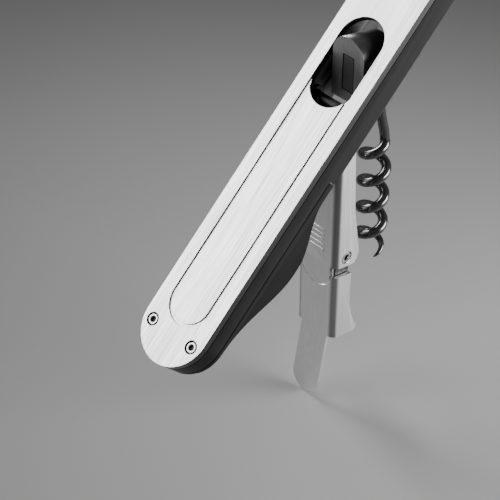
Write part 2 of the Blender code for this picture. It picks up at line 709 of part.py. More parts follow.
def main():
    clear_scene()
    worm_pivot = Vector((-WORM_OFFSET, 0, WORM_LENGTH))
    near_end = worm_pivot - handle_point(WORM_PIVOT_ALONG, WORM_PIVOT_DEPTH)
    lever_pivot = near_end + handle_point(LEVER_PIVOT_ALONG, LEVER_PIVOT_DEPTH)
    handle = frame_empty("handle_frame", near_end, HANDLE_PITCH)
    lever = frame_empty("lever_axis", lever_pivot)
    hinge = frame_empty("lever_hinge_axis", (HINGE_FORWARD, 0, -UPPER_LENGTH), parent=lever)
    worm = frame_empty("worm_axis", worm_pivot)
    for make in (
        make_top_plate,
        make_plate_screws,
        make_rail,
        make_far_cover,
        make_guard,
        make_guard_screws,
        make_chassis,
        make_pins,
        make_worm_washers,
        make_detent_spring,
    ):
        make(handle)
    make_lever_upper(lever)
    make_hinge_rivets(lever)
    make_lever_lower(hinge)
    for make in (make_worm_block, make_badge, make_grub_screw, make_worm_bush, make_worm):
        make(worm)


main()
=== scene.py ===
import json
import math
from contextlib import contextmanager

import bmesh
import bpy
from mathutils import Matrix, Vector


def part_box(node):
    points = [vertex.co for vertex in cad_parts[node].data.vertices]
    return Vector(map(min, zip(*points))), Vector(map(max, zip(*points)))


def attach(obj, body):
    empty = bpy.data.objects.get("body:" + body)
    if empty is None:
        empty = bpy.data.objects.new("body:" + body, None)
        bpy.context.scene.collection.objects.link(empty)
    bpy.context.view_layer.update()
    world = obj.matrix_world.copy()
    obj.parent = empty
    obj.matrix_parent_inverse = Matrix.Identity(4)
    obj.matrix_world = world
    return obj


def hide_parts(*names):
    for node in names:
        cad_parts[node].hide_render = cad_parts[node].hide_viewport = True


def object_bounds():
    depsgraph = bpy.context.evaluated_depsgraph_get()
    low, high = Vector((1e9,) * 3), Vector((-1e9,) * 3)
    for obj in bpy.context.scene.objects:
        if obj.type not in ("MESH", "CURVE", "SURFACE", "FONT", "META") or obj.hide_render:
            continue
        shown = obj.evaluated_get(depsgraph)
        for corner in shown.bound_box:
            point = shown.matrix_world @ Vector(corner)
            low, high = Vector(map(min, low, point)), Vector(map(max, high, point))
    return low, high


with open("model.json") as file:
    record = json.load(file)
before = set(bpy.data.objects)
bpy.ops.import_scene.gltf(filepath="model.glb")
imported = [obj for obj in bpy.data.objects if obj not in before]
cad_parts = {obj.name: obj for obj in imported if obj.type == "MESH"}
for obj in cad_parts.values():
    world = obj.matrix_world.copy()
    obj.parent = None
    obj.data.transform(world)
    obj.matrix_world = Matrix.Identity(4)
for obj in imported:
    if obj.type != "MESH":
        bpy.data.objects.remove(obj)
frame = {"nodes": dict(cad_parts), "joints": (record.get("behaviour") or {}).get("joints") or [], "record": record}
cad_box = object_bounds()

# Fine meshes and materials for a lever corkscrew, over the CAD model and in its frame. A piece is made in
# millimetres round its own pivot or in the handle's frame, and put in place by that frame's matrix.
MM = 0.001
GAP = 0.3
RECORD = frame["record"]
NODES = frame["nodes"]
JOINTS = {joint["name"]: joint for joint in frame["joints"]}
MOUNTS = {mount["name"]: mount for mount in RECORD["mounts"]}
BODIES = {node: body for body, nodes in RECORD["behaviour"]["bodies"].items() for node in nodes}

# Handle, in millimetres, in its own frame: X along it, Z out of the steel top.
PLATE_THICK = 2.0
BODY_DEPTH = 9.0
SLOT_HALF_WIDTH = 6.5
SLOT_FROM = 68.7
SLOT_TO = 79.8
GROOVE_FROM = 7.0
GROOVE_WIDTH = 0.9
GROOVE_DEPTH = 0.4
POCKET_FROM = 4.5
POCKET_TO = 96.0
POCKET_HALF_WIDTH = 7.9
CHANNEL_HALF_WIDTH = 7.0
CHANNEL_FROM = -4.5
END_RELIEF_DEPTH = 8.0
GUARD_TO = 48.2
GUARD_SEAM = 6.8
GUARD_TIP = 8.15
GUARD_PEAK = 15.6
HOLE_RADIUS = 1.0
COUNTERBORE_RADIUS = 1.75
COUNTERBORE_DEPTH = 1.3
PLATE_SCREW_X = -2.0
PLATE_SCREW_Y = 6.9
PLATE_HEX_RADIUS = 0.78
GUARD_SCREW_X = 2.6
GUARD_SCREW_Y = 8.4
GUARD_HEX_RADIUS = 0.45
COVER_HALF_WIDTH = 6.0
COVER_THICK = 1.2
COVER_HOLE_RADIUS = 1.5
PIN_RADIUS = 1.5

# Lever, from its upper pin and from its hinge.
LEVER_SHEET = 1.0
LEVER_HALF_WIDTH = 6.7
LEVER_WEB = 4.0
BEND_RADIUS = 1.9
WEB_START = 12.5
FLANGE_TOP = 1.4
FLANGE_FRONT = 2.5
EAR_RADIUS = 2.6
PIVOT_END = -7.0
KNUCKLE_RADIUS = 4.3
HINGE_EAR_SHEET = 0.7
KNUCKLE_BOTTOM = 2.9
TONGUE_HALF_WIDTH = 4.9
TONGUE_DROP = 4.7
LOWER_LENGTH = 25.5
TAIL_HALF_WIDTH = 4.6
TAIL_LENGTH = 20.0
TAIL_BEND = 10.0
RIB_FROM = -41.0
RIB_PITCH = 1.6
RIB_COUNT = 5

# Worm and its block, from the worm's pin.
WORM_OFFSET = 6.9
WIRE_RADIUS = 1.3
COIL_RADIUS = 3.15
COIL_PITCH = 8.5
COIL_TOP = 35.7
SHANK_OFFSET = 0.6
SHANK_LEAN = 1.75
SHANK_ANGLE = math.radians(-43.0)
BLOCK_HALF_WIDTH = 5.1
BLOCK_FRONT = -4.5
BLOCK_BACK = 9.1
BLOCK_BOTTOM = -12.2
BLOCK_FACE_BOTTOM = -9.6
BLOCK_CORNER = 5.0
BLOCK_ARCH_Z = 3.1
BARREL_FALL = 0.19
BARREL_END = 6.0
GRUB_Z = -8.2
GRUB_HEX_RADIUS = 0.45
BUSH_WALL = 0.5
BADGE_Y = (-2.0, 1.8)
BADGE_Z = (-6.6, 3.4)

# How far the edges are rounded, for each kind of piece.
PLATE_ROUND = 0.07
MOULDED_ROUND = 0.45
SHEET_ROUND = 0.12
BLOCK_ROUND = 0.8

# Places that count as one when meshes are cleaned, in metres.
SAME_PLACE = 0.0000005
WELDED = 0.000002

# How far a cutter or an outline's extrusion reaches: past a side, past a cut and past everything.
PAST_SIDE = 15
PAST_CUT = 20
FAR = 30

# Camera.
VIEW_AZIMUTH = math.radians(-42.83)
VIEW_ELEVATION = math.radians(39.5)
VIEW_DISTANCE = 0.380
VIEW_TARGET = Vector((-0.0461, -0.0034, 0.0277))
LENS = 115.2


def handle_frame():
    """The handle's frame in the row frame, and the distance between its two round ends' centres."""
    normal = Vector(MOUNTS["plate_face"]["axis"])
    sine, cosine = -normal.x, normal.z
    low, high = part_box("top_plate")
    radius, thick = (high.y - low.y) / 2, PLATE_THICK * MM
    near = Vector((low.x + radius * cosine, 0, low.z + radius * sine + thick * cosine))
    arm = (high.x - near.x - thick * sine) / cosine - radius
    tilt = Matrix.Rotation(-math.atan2(sine, cosine), 4, "Y")
    return Matrix.Translation(near) @ tilt, arm / MM, radius / MM


HANDLE, ARM, PLATE_RADIUS = handle_frame()
LEVER = Matrix.Translation(JOINTS["lever_pivot"]["pos_m"])
HINGE = Matrix.Translation(JOINTS["lever_hinge"]["pos_m"])
WORM = Matrix.Translation(JOINTS["worm_pivot"]["pos_m"])
HINGE_IN_LEVER = (Vector(JOINTS["lever_hinge"]["pos_m"]) - Vector(JOINTS["lever_pivot"]["pos_m"])) / MM
WORM_LENGTH = JOINTS["worm_pivot"]["pos_m"][2] / MM


# ---------------------------------------------------------------- outlines


def arc(cx, cy, radius, start, end, steps=20):
    span = end - start
    angles = [math.radians(start + span * i / steps) for i in range(steps + 1)]
    return [(cx + radius * math.cos(a), cy + radius * math.sin(a)) for a in angles]


def circle(cx, cy, radius, steps=40):
    return arc(cx, cy, radius, 0, 360, steps)[:-1]


def stadium(x_from, x_to, radius, steps=56):
    return arc(x_to, 0, radius, -90, 90, steps) + arc(x_from, 0, radius, 90, 270, steps)


def rounded(corners, steps=10):
    """A polygon whose corners are (x, y, fillet radius)."""
    points = []
    for i, (x, y, radius) in enumerate(corners):
        here = Vector((x, y))
        if radius == 0:
            points.append((x, y))
            continue
        before = (Vector(corners[i - 1][:2]) - here).normalized()
        after = (Vector(corners[(i + 1) % len(corners)][:2]) - here).normalized()
        half = before.angle(after) / 2
        centre = here + (before + after).normalized() * (radius / math.sin(half))
        start = here + before * (radius / math.tan(half)) - centre
        end = here + after * (radius / math.tan(half)) - centre
        turn = start.angle_signed(end)
        for k in range(steps + 1):
            spoke = start.copy()
            spoke.rotate(Matrix.Rotation(-turn * k / steps, 2))
            points.append(tuple(centre + spoke))
    return points


def rectangle(x_from, x_to, y_from, y_to, radius=0.0):
    corners = ((x_from, y_from), (x_to, y_from), (x_to, y_to), (x_from, y_to))
    return rounded([(x, y, radius) for x, y in corners])


def smooth_step(x, low, high):
    t = min(max((x - low) / (high - low), 0.0), 1.0)
    return t * t * (3 - 2 * t)


# ---------------------------------------------------------------- solids

AXES = {
    "X": Matrix(((0, 0, 1, 0), (1, 0, 0, 0), (0, 1, 0, 0), (0, 0, 0, 1))),
    "Y": Matrix(((1, 0, 0, 0), (0, 0, -1, 0), (0, 1, 0, 0), (0, 0, 0, 1))),
    "Z": Matrix.Identity(4),
}


def linked(name, data):
    obj = bpy.data.objects.new(name, data)
    bpy.context.scene.collection.objects.link(obj)
    return obj


def evaluated(obj):
    """A new mesh: the object's own, with its modifiers applied."""
    graph = bpy.context.evaluated_depsgraph_get()
    return bpy.data.meshes.new_from_object(obj.evaluated_get(graph))


def baked(obj):
    """The object's evaluated mesh; the object itself is removed."""
    mesh = evaluated(obj)
    bpy.data.objects.remove(obj, do_unlink=True)
    return mesh


def apply_modifiers(obj):
    mesh = evaluated(obj)
    obj.modifiers.clear()
    obj.data = mesh


@contextmanager
def mesh_edit(mesh):
    """Opens a mesh for bmesh operations and writes them back."""
    shape = bmesh.new()
    shape.from_mesh(mesh)
    yield shape
    shape.to_mesh(mesh)
    shape.free()


def prism(name, outlines, low, high, axis="Z"):
    """A flat shape with holes, extruded from low to high along an axis."""
    curve = bpy.data.curves.new(name, "CURVE")
    curve.dimensions = "2D"
    curve.fill_mode = "BOTH"
    curve.extrude = (high - low) / 2 * MM
    for outline in outlines:
        spline = curve.splines.new("POLY")
        spline.points.add(len(outline) - 1)
        spline.use_cyclic_u = True
        for point, (x, y) in zip(spline.points, outline):
            point.co = (x * MM, y * MM, 0, 1)
    mesh = baked(linked(name, curve))
    with mesh_edit(mesh) as shape:
        bmesh.ops.remove_doubles(shape, verts=shape.verts, dist=SAME_PLACE)
    middle = (low + high) / 2 * MM
    if axis == "Y":
        middle = -middle
    mesh.transform(AXES[axis] @ Matrix.Translation((0, 0, middle)))
    return linked(name, mesh)


def box(x, y, z):
    return prism("box", [rectangle(*x, *y)], *z)


def turned(profile, axis="Z", steps=48, closed=False):
    """A solid of revolution from (radius, height) pairs, outer side from top to bottom."""
    mesh = bpy.data.meshes.new("turned")
    points = [(radius * MM, 0, height * MM) for radius, height in profile]
    edges = [(i, i + 1) for i in range(len(points) - 1)]
    if closed:
        edges.append((len(points) - 1, 0))
    mesh.from_pydata(points, edges, [])
    source = linked("turned", mesh)
    screw = source.modifiers.new("turn", "SCREW")
    screw.steps = screw.render_steps = steps
    screw.use_merge_vertices = True
    screw.merge_threshold = WELDED
    made = baked(source)
    made.transform(AXES[axis])
    return linked("turned", made)


def moved(obj, x=0.0, y=0.0, z=0.0):
    obj.data.transform(Matrix.Translation(Vector((x, y, z)) * MM))
    return obj


def combine(target, tool, operation="DIFFERENCE"):
    """Applies a Boolean at once and removes the tool."""
    modifier = target.modifiers.new("combine", "BOOLEAN")
    modifier.operation = operation
    modifier.solver = "MANIFOLD"
    modifier.object = tool
    apply_modifiers(target)
    bpy.data.objects.remove(tool, do_unlink=True)


def across(x, z, radius):
    """A round hole's cutter right across a piece, along Y."""
    return prism("hole", [circle(x, z, radius)], -FAR, FAR, "Y")


def merge_flats(obj):
    """Joins the faces that lie in one plane, so that a flat side is shaded flat."""
    with mesh_edit(obj.data) as shape:
        flat = math.radians(0.3)
        bmesh.ops.dissolve_limit(shape, angle_limit=flat, verts=shape.verts, edges=shape.edges)


def split_at(obj, z):
    """Cuts the faces along a level plane, so that the two sides can take different materials."""
    with mesh_edit(obj.data) as shape:
        whole = shape.verts[:] + shape.edges[:] + shape.faces[:]
        bmesh.ops.bisect_plane(shape, geom=whole, plane_co=(0, 0, z * MM), plane_no=(0, 0, 1))


def add_bevel(obj, width, segments, angle):
    """Welds the mesh and rounds the edges sharper than an angle; returns the Bevel."""
    weld = obj.modifiers.new("weld", "WELD")
    weld.merge_threshold = WELDED
    edge = obj.modifiers.new("soften", "BEVEL")
    edge.width = width * MM
    edge.segments = segments
    edge.limit_method = "ANGLE"
    edge.angle_limit = math.radians(angle)
    return edge


def soften(obj, width, segments=2, angle=32):
    """Rounds the edges, in the mesh."""
    merge_flats(obj)
    edge = add_bevel(obj, width, segments, angle)
    edge.use_clamp_overlap = True
    edge.miter_outer = "MITER_ARC"
    apply_modifiers(obj)
    return obj


def finish_piece(obj, place, node, look, smooth=28):
    """Names the piece, puts it in place and lets it stand for its CAD node."""
    obj.name = "look_" + node
    obj.data.name = obj.name
    obj.data.materials.clear()
    obj.data.materials.append(look)
    obj.data.shade_smooth()
    obj.data.set_sharp_from_angle(angle=math.radians(smooth))
    normals = obj.modifiers.new("normals", "WEIGHTED_NORMAL")
    normals.keep_sharp = True
    normals.weight = 100
    obj.matrix_world = place
    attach(obj, BODIES[node])
    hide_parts(node)
    return obj


def mark_faces(obj, look, chosen):
    """Gives another material to the faces that a test of (centre in mm, normal) picks out."""
    obj.data.materials.append(look)
    index = len(obj.data.materials) - 1
    for face in obj.data.polygons:
        if chosen(face.center / MM, face.normal):
            face.material_index = index


# ---------------------------------------------------------------- materials


def new_material(name, colour, metallic, roughness):
    made = bpy.data.materials.new(name)
    made.use_nodes = True
    shader = made.node_tree.nodes["Principled BSDF"]
    shader.inputs["Base Color"].default_value = (*colour, 1.0)
    shader.inputs["Metallic"].default_value = metallic
    shader.inputs["Roughness"].default_value = roughness
    return made, made.node_tree, shader


def noise(tree, stretch, detail=3.0):
    """A noise texture in the piece's own coordinates, with its frequency along each axis."""
    where = tree.nodes.new("ShaderNodeTexCoord")
    mapping = tree.nodes.new("ShaderNodeMapping")
    mapping.inputs["Scale"].default_value = stretch
    texture = tree.nodes.new("ShaderNodeTexNoise")
    texture.inputs["Scale"].default_value = 1.0
    texture.inputs["Detail"].default_value = detail
    tree.links.new(where.outputs["Object"], mapping.inputs["Vector"])
    tree.links.new(mapping.outputs["Vector"], texture.inputs["Vector"])
    return texture.outputs["Fac"]


def ramp(tree, factor, stops):
    node = tree.nodes.new("ShaderNodeValToRGB")
    elements = node.color_ramp.elements
    while len(elements) < len(stops):
        elements.new(0.5)
    for element, (position, colour) in zip(elements, stops):
        element.position = position
        element.color = (*colour, 1.0)
    tree.links.new(factor, node.inputs["Fac"])
    return node.outputs["Color"]


def blended(tree, a, b, factor):
    """Mixes two colours by a factor; b may be a plain colour, and the factor a plain number."""
    node = tree.nodes.new("ShaderNodeMix")
    node.data_type = "RGBA"
    if isinstance(factor, float):
        node.inputs["Factor"].default_value = factor
    else:
        tree.links.new(factor, node.inputs["Factor"])
    if isinstance(b, tuple):
        node.inputs["B"].default_value = (*b, 1.0)
    else:
        tree.links.new(b, node.inputs["B"])
    tree.links.new(a, node.inputs["A"])
    return node.outputs["Result"]


def grey(value):
    return (value, value, value)


def scaled(colour, by):
    return tuple(min(c * by, 1.0) for c in colour)


def bump(tree, shader, height, strength, distance):
    node = tree.nodes.new("ShaderNodeBump")
    node.inputs["Strength"].default_value = strength
    node.inputs["Distance"].default_value = distance
    tree.links.new(height, node.inputs["Height"])
    tree.links.new(node.outputs["Normal"], shader.inputs["Normal"])


def worn_edges(tree, body, edge, sharp=0.54):
    """Shows the edge colour where the surface is pointed."""
    pointed = tree.nodes.new("ShaderNodeNewGeometry").outputs["Pointiness"]
    wear = ramp(tree, pointed, [(sharp, grey(0.0)), (sharp + 0.08, grey(0.8))])
    return blended(tree, body, edge, wear)


def painted_fold_shade(tree, tone, dark):
    """Paints shade on the outside of upright folds: the dark colour stands in for the shade on the bends."""
    facing = tree.nodes.new("ShaderNodeSeparateXYZ")
    product = tree.nodes.new("ShaderNodeMath")
    product.operation = "MULTIPLY"
    size = tree.nodes.new("ShaderNodeMath")
    size.operation = "ABSOLUTE"
    where = tree.nodes.new("ShaderNodeTexCoord")
    tree.links.new(where.outputs["Normal"], facing.inputs["Vector"])
    tree.links.new(facing.outputs["X"], product.inputs[0])
    tree.links.new(facing.outputs["Y"], product.inputs[1])
    tree.links.new(product.outputs[0], size.inputs[0])
    amount = ramp(tree, size.outputs[0], [(0.06, grey(0.0)), (0.42, grey(1.0))])
    return blended(tree, tone, dark, amount)


def brushed(name, colour, roughness, stretch, spread=0.05, folded=False):
    """Satin steel with fine grain, a slow drift in tone and brighter rubbed edges; with folded, painted shade on
    the bends.
    """
    made, tree, shader = new_material(name, colour, 1.0, roughness)
    grain = noise(tree, stretch, 5.0)
    cloud = noise(tree, (70, 70, 70), 2.0)
    fine = ramp(tree, grain, [(0.32, scaled(colour, 0.88)), (0.68, scaled(colour, 1.06))])
    slow = ramp(tree, cloud, [(0.3, scaled(colour, 0.96)), (0.7, scaled(colour, 1.04))])
    tone = blended(tree, fine, slow, 0.4)
    # Painted shade: the bends' faces are darkened to stand in for shade.
    if folded:
        tone = painted_fold_shade(tree, tone, scaled(colour, 0.22))
    bright = ramp(tree, cloud, [(0.3, scaled(colour, 1.15)), (0.7, scaled(colour, 1.3))])
    tree.links.new(worn_edges(tree, tone, bright), shader.inputs["Base Color"])
    rough = ramp(tree, grain, [(0.3, grey(roughness + spread)), (0.7, grey(roughness - spread))])
    tree.links.new(rough, shader.inputs["Roughness"])
    bump(tree, shader, grain, 0.2, 0.00005)
    return made


def moulded(name, colour, roughness):
    """Fine matte moulding with a faint mottle and lighter handled edges."""
    made, tree, shader = new_material(name, colour, 0.0, roughness)
    shader.inputs["Specular IOR Level"].default_value = 0.09
    fine = noise(tree, (7000, 7000, 7000))
    cloud = noise(tree, (150, 150, 150))
    body = ramp(tree, cloud, [(0.3, scaled(colour, 0.8)), (0.7, scaled(colour, 1.25))])
    edge = ramp(tree, fine, [(0.3, scaled(colour, 1.8)), (0.7, scaled(colour, 2.6))])
    tree.links.new(worn_edges(tree, body, edge, 0.53), shader.inputs["Base Color"])
    rough = ramp(tree, fine, [(0.3, grey(roughness + 0.06)), (0.7, grey(roughness - 0.06))])
    tree.links.new(rough, shader.inputs["Roughness"])
    bump(tree, shader, fine, 0.25, 0.00003)
    return made


def coated(name, colour, roughness):
    """Glossy black coating over steel wire."""
    made, tree, shader = new_material(name, colour, 0.0, roughness)
    shader.inputs["Coat Weight"].default_value = 0.5
    shader.inputs["Coat Roughness"].default_value = 0.12
    peel = noise(tree, (800, 800, 800), 2.0)
    body = ramp(tree, peel, [(0.35, scaled(colour, 0.7)), (0.65, scaled(colour, 1.5))])
    tree.links.new(body, shader.inputs["Base Color"])
    rough = ramp(tree, peel, [(0.3, grey(roughness + 0.08)), (0.7, grey(roughness - 0.05))])
    tree.links.new(rough, shader.inputs["Roughness"])
    bump(tree, shader, peel, 0.15, 0.00005)
    return made


ALONG_HANDLE = (60, 2200, 2200)
ALONG_LEVER = (2600, 2600, 120)
ALL_ROUND = (3000, 3000, 3000)
CAST = (1500, 1500, 1500)

PLATE_STEEL = brushed("plate_brushed_steel", (0.84, 0.84, 0.835), 0.38, ALONG_HANDLE, 0.07)
# Painted shade: a dark copy of the plate's steel for its side walls.
PLATE_EDGE_SHADE = brushed("plate_edge_painted_shade", (0.065, 0.065, 0.065), 0.34, ALONG_HANDLE)
# Painted shade for the walls of the groove, slot, screw holes and rivet bores.
RECESS_SHADE = brushed("recess_painted_shade", (0.04, 0.04, 0.04), 0.45, ALL_ROUND)
# The lever's bends carry painted shade (folded).
LEVER_STEEL = brushed("lever_satin_steel", (0.82, 0.82, 0.815), 0.33, ALONG_LEVER, folded=True)
SHEET_STEEL = brushed("chassis_satin_steel", (0.50, 0.50, 0.50), 0.32, ALONG_HANDLE)
# Painted shade: a dark copy of steel for the chassis and for the lever's parts that sit in shade.
INNER_SHADE = brushed("inside_painted_shade", (0.06, 0.06, 0.06), 0.45, ALONG_HANDLE)
TURNED_STEEL = brushed("turned_steel", (0.62, 0.62, 0.61), 0.24, ALL_ROUND)
# Painted shade: pins darkened so they read as lying in shade.
PIN_SHADE = brushed("pin_painted_shade", (0.035, 0.035, 0.035), 0.42, ALL_ROUND)
SPRING_STEEL = brushed("blued_spring_steel", (0.20, 0.20, 0.21), 0.30, ALONG_HANDLE)
# The worm block's metal in two copies: a dark one, painted shade, for its body, and a lighter one, painted light,
# for its face.
BLOCK_SHADE = brushed("block_painted_shade_metal", (0.16, 0.16, 0.161), 0.34, CAST, 0.03)
FACE_LIGHT = brushed("block_face_painted_light_metal", (0.66, 0.66, 0.665), 0.42, CAST, 0.04)
INLAY_METAL = brushed("inlay_dark_metal", (0.30, 0.30, 0.302), 0.46, CAST, 0.04)
BLACK_BODY = moulded("black_moulding", (0.006, 0.006, 0.0063), 0.38)
BLACK_COATING = coated("black_wire_coating", (0.008, 0.008, 0.009), 0.16)
NYLON = moulded("natural_nylon", (0.60, 0.58, 0.53), 0.45)


# ---------------------------------------------------------------- handle


def plate_screw_places():
    return [(x, side * PLATE_SCREW_Y) for x in (PLATE_SCREW_X, ARM - PLATE_SCREW_X) for side in (-1, 1)]


def make_plate():
    outlines = [stadium(0, ARM, PLATE_RADIUS), stadium(SLOT_FROM, SLOT_TO, SLOT_HALF_WIDTH)]
    outlines += [circle(x, y, HOLE_RADIUS) for x, y in plate_screw_places()]
    plate = prism("plate", outlines, -PLATE_THICK, 0)
    inner = SLOT_HALF_WIDTH - GROOVE_WIDTH
    loop = [stadium(GROOVE_FROM, SLOT_FROM, SLOT_HALF_WIDTH), stadium(GROOVE_FROM, SLOT_FROM, inner)]
    combine(plate, prism("groove", loop, -GROOVE_DEPTH, 1))
    for x, y in plate_screw_places():
        seat = [circle(x, y, COUNTERBORE_RADIUS)]
        combine(plate, prism("counterbore", seat, -COUNTERBORE_DEPTH, 1))
    soften(plate, PLATE_ROUND)
    finish_piece(plate, HANDLE, "top_plate", PLATE_STEEL)
    # Painted shade on the plate's side walls.
    mark_faces(plate, PLATE_EDGE_SHADE, lambda at, normal: abs(normal.z) < 0.5)
    mark_faces(plate, RECESS_SHADE, inside_plate)


def inside_plate(at, normal):
    """True for walls inside the plate's outline: the groove's, the slot's and the screw holes', which take painted
    shade.
    """
    nearest = min(max(at.x, 0.0), ARM)
    reach = math.hypot(at.x - nearest, at.y)
    return abs(normal.z) < 0.95 and reach < PLATE_RADIUS - 0.3


def make_plate_screws():
    head = [(0, -0.1), (1.2, -0.1), (1.33, -0.22), (1.35, -1.0), (0.7, -1.0), (0.7, -6.5), (0, -6.5)]
    for i, (x, y) in enumerate(plate_screw_places()):
        screw = turned(head)
        combine(screw, prism("hex", [circle(0, 0, PLATE_HEX_RADIUS, 6)], -0.85, 1))
        combine(screw, turned([(0, 1), (1.0, 1), (1.0, 0.0), (0.68, -0.32), (0, -0.32)]))
        moved(soften(screw, 0.03, 1), x, y)
        piece = finish_piece(screw, HANDLE, f"plate_screw_{i + 1}", TURNED_STEEL)
        # Painted shade on the screw's lower part, deep in its counterbore.
        mark_faces(piece, RECESS_SHADE, lambda at, normal: at.z < -0.8)


def cover_outline(inset):
    half = COVER_HALF_WIDTH - inset
    return rectangle(POCKET_TO + 4 + inset, ARM + 2 - inset, -half, half, 3.0)


def make_rail():
    top = -PLATE_THICK - GAP
    outline = stadium(0, ARM, PLATE_RADIUS)
    pocket = rectangle(POCKET_FROM, POCKET_TO, -POCKET_HALF_WIDTH, POCKET_HALF_WIDTH, 0.5)
    holes = [circle(x, y, HOLE_RADIUS) for x, y in plate_screw_places()]
    rail = prism("rail", [outline, pocket, *holes], -BODY_DEPTH, top)
    combine(rail, box((-PAST_CUT, GUARD_TO + GAP), (-PAST_CUT, PAST_CUT), (-PAST_CUT, -GUARD_SEAM)))
    combine(rail, prism("cover_recess", [cover_outline(0)], -PAST_CUT, -BODY_DEPTH + COVER_THICK + GAP))
    soften(rail, MOULDED_ROUND, 3)
    finish_piece(rail, HANDLE, "rail", BLACK_BODY)


def guard_depth(x):
    """The depth of the guard's lower edge along the handle, with one hump."""
    rise = smooth_step(x, -4.0, 25.0) ** 1.7
    fall = 1 - smooth_step(x, 27.0, 43.5)
    base = GUARD_TIP + (BODY_DEPTH - GUARD_TIP) * smooth_step(x, 0.0, GUARD_TO)
    return base + (GUARD_PEAK - base) * rise * fall


def make_guard():
    top, start, steps = -GUARD_SEAM - GAP, -12.0, 110
    xs = [start + (GUARD_TO - start) * i / steps for i in range(steps + 1)]
    outline = [(GUARD_TO, top), (start, top)] + [(x, -guard_depth(x)) for x in xs]
    guard = prism("guard", [outline], -PAST_SIDE, PAST_SIDE, "Y")
    combine(guard, prism("plan", [stadium(0, ARM, PLATE_RADIUS)], -FAR, 5), "INTERSECT")
    half = CHANNEL_HALF_WIDTH
    combine(guard, box((CHANNEL_FROM, 2 * FAR), (-half, half), (-FAR, 0)))
    combine(guard, box((-PAST_CUT, CHANNEL_FROM + 0.5), (-half, half), (-FAR, -END_RELIEF_DEPTH)))
    for side in (-1, 1):
        seat = turned([(0, 3), (0.9, 3), (0.9, 0.8), (1.25, 0.8), (1.25, -3), (0, -3)])
        moved(seat, GUARD_SCREW_X, side * GUARD_SCREW_Y, -guard_depth(GUARD_SCREW_X))
        combine(guard, seat)
    soften(guard, MOULDED_ROUND, 3)
    finish_piece(guard, HANDLE, "guard_shell", BLACK_BODY)


def make_guard_screws():
    profile = [(0, 4.2), (0.6, 4.2), (0.6, 0.5), (0.95, 0.4), (0.95, 0.15), (0.85, 0.05), (0, 0.05)]
    for name, side in (("right", -1), ("left", 1)):
        screw = turned(profile)
        combine(screw, prism("hex", [circle(0, 0, GUARD_HEX_RADIUS, 6)], -1, 0.4))
        moved(screw, GUARD_SCREW_X, side * GUARD_SCREW_Y, -guard_depth(GUARD_SCREW_X))
        finish_piece(screw, HANDLE, "guard_screw_" + name, TURNED_STEEL)


def make_cover():
    seats = (POCKET_TO + 8, ARM - 2)
    holes = [circle(x, 0, COVER_HOLE_RADIUS) for x in seats]
    cover = prism("cover", [cover_outline(GAP), *holes], -BODY_DEPTH, -BODY_DEPTH + COVER_THICK)
    finish_piece(soften(cover, 0.1), HANDLE, "far_cover", SHEET_STEEL)
    profile = [(0, 1.0), (1.2, 1.0), (1.2, 0.3), (1.0, 0.13), (0.5, 0.1), (0, 0.1)]
    for i, x in enumerate(seats):
        rivet = moved(turned(profile), x, 0, -BODY_DEPTH)
        finish_piece(rivet, HANDLE, f"cover_rivet_{i + 1}", TURNED_STEEL)


# ---------------------------------------------------------------- carried-over nodes


def dress(node, look, width):
    """Gives a CAD node its material and softly broken edges."""
    obj = NODES[node]
    obj.data.materials.clear()
    obj.data.materials.append(look)
    add_bevel(obj, width, 2, 30).harden_normals = True
    obj.data.shade_smooth()


def chassis_lower_edge(at, normal):
    """True for the lower edges of the chassis's two walls."""
    below = -(HANDLE.to_3x3() @ Vector((0, 0, 1)))
    return abs(at.y) > CHANNEL_HALF_WIDTH and normal.dot(below) > 0.5


def dress_inside():
    # The chassis is painted dark as shade; only its lower edges keep the satin steel.
    dress("chassis", INNER_SHADE, 0.08)
    mark_faces(NODES["chassis"], SHEET_STEEL, chassis_lower_edge)
    # The pins and the spring rivet take painted shade.
    for node in ("lever_pin", "worm_pin"):
        dress(node, PIN_SHADE, 0.15)
    dress("spring_rivet", PIN_SHADE, 0.06)
    dress("detent_spring", SPRING_STEEL, 0.06)
    for node in ("worm_bush", "worm_washer_left", "worm_washer_right"):
        dress(node, NYLON, 0.06)


# ---------------------------------------------------------------- lever


def channel_section(web, front):
    """The lever's folded sheet seen from its end, open towards +X."""
    out, inside = LEVER_HALF_WIDTH, LEVER_HALF_WIDTH - LEVER_SHEET
    back = web + LEVER_SHEET
    corners = [(front, -out, 0), (web, -out, BEND_RADIUS), (web, out, BEND_RADIUS), (front, out, 0)]
    corners += [(front, inside, 0), (back, inside, 0.35), (back, -inside, 0.35), (front, -inside, 0)]
    return rounded(corners, 12)


